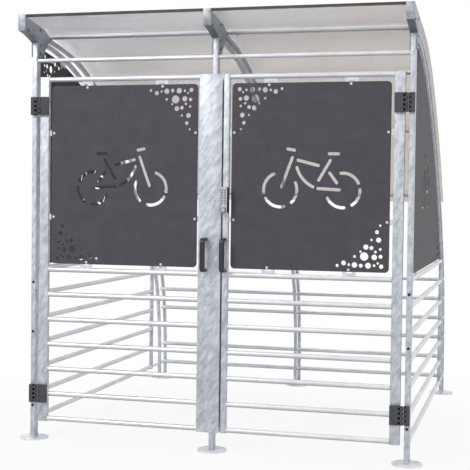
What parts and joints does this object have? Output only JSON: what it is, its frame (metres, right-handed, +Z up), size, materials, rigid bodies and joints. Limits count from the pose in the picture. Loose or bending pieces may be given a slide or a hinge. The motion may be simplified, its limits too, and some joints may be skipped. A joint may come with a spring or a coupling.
{
  "type": "bike shelter",
  "caption": "Bike shelter with an arched translucent roof, railed sides and back, and two outward-opening door leaves with cut-out panels.",
  "frame": {"origin": "on the ground under the front face of the middle post, on the middle front foot's underside", "axes": "+X to the right seen from the door side, +Y towards the back, +Z up"},
  "size_m": [2.209, 2.4635, 2.3006],
  "materials": {
    "bracket_steel": "hot-dip galvanised",
    "bright_tube": "hot-dip galvanised, bright",
    "clip_steel": "zinc plated",
    "edge_profile": "dark satin",
    "foot_steel": "hot-dip galvanised",
    "galvanised_steel": "hot-dip galvanised, spangled",
    "handle_black": "satin black",
    "hinge_black": "matt black",
    "lock_silver": "satin silver",
    "panel_sheet": "fine-textured anthracite powder coat",
    "roof_polycarbonate": "translucent twin-wall sheet"
  },
  "bodies": {
    "frame": {"arched_rib_left": "galvanised_steel", "arched_rib_middle": "galvanised_steel", "arched_rib_right": "galvanised_steel", "centre_stops": "galvanised_steel", "front_feet": "foot_steel", "front_post_left": "galvanised_steel", "front_post_middle": "galvanised_steel", "front_post_right": "galvanised_steel", "header_rails": "bright_tube", "knee_bracket_left": "bracket_steel", "knee_bracket_middle": "bracket_steel", "knee_bracket_right": "bracket_steel", "leg_ties_left": "foot_steel", "leg_ties_right": "foot_steel", "post_hinges_left": "hinge_black", "post_hinges_right": "hinge_black", "rear_feet": "foot_steel", "rear_rails": "bright_tube", "roof_front_profile": "edge_profile", "roof_purlins": "bright_tube", "roof_sheet": "roof_polycarbonate", "side_panel_clips_left": "clip_steel", "side_panel_clips_right": "clip_steel", "side_panel_left": "panel_sheet", "side_panel_right": "panel_sheet", "side_rails_left": "bright_tube", "side_rails_right": "bright_tube", "side_stile_left": "galvanised_steel", "side_stile_right": "galvanised_steel"},
    "left_leaf": {"left_leaf_centre_stile": "galvanised_steel", "left_leaf_clips": "clip_steel", "left_leaf_cover_plate": "galvanised_steel", "left_leaf_handle": "handle_black", "left_leaf_hinges": "hinge_black", "left_leaf_outer_stile": "galvanised_steel", "left_leaf_panel": "panel_sheet", "left_leaf_rails": "bright_tube"},
    "right_leaf": {"right_leaf_centre_stile": "galvanised_steel", "right_leaf_clips": "clip_steel", "right_leaf_handle": "handle_black", "right_leaf_hinges": "hinge_black", "right_leaf_outer_stile": "galvanised_steel", "right_leaf_panel": "panel_sheet", "right_leaf_rails": "bright_tube", "keypad_lock": "lock_silver"}
  },
  "joints": [
    {"name": "left_leaf_hinge", "type": "hinge", "parent": "frame", "child": "left_leaf", "pos_m": [-1.001, -0.01, 1], "axis": [0, 0, -1], "range_deg": [0, 120]},
    {"name": "right_leaf_hinge", "type": "hinge", "parent": "frame", "child": "right_leaf", "pos_m": [1.001, -0.01, 1], "axis": [0, 0, 1], "range_deg": [0, 120]}
  ]
}
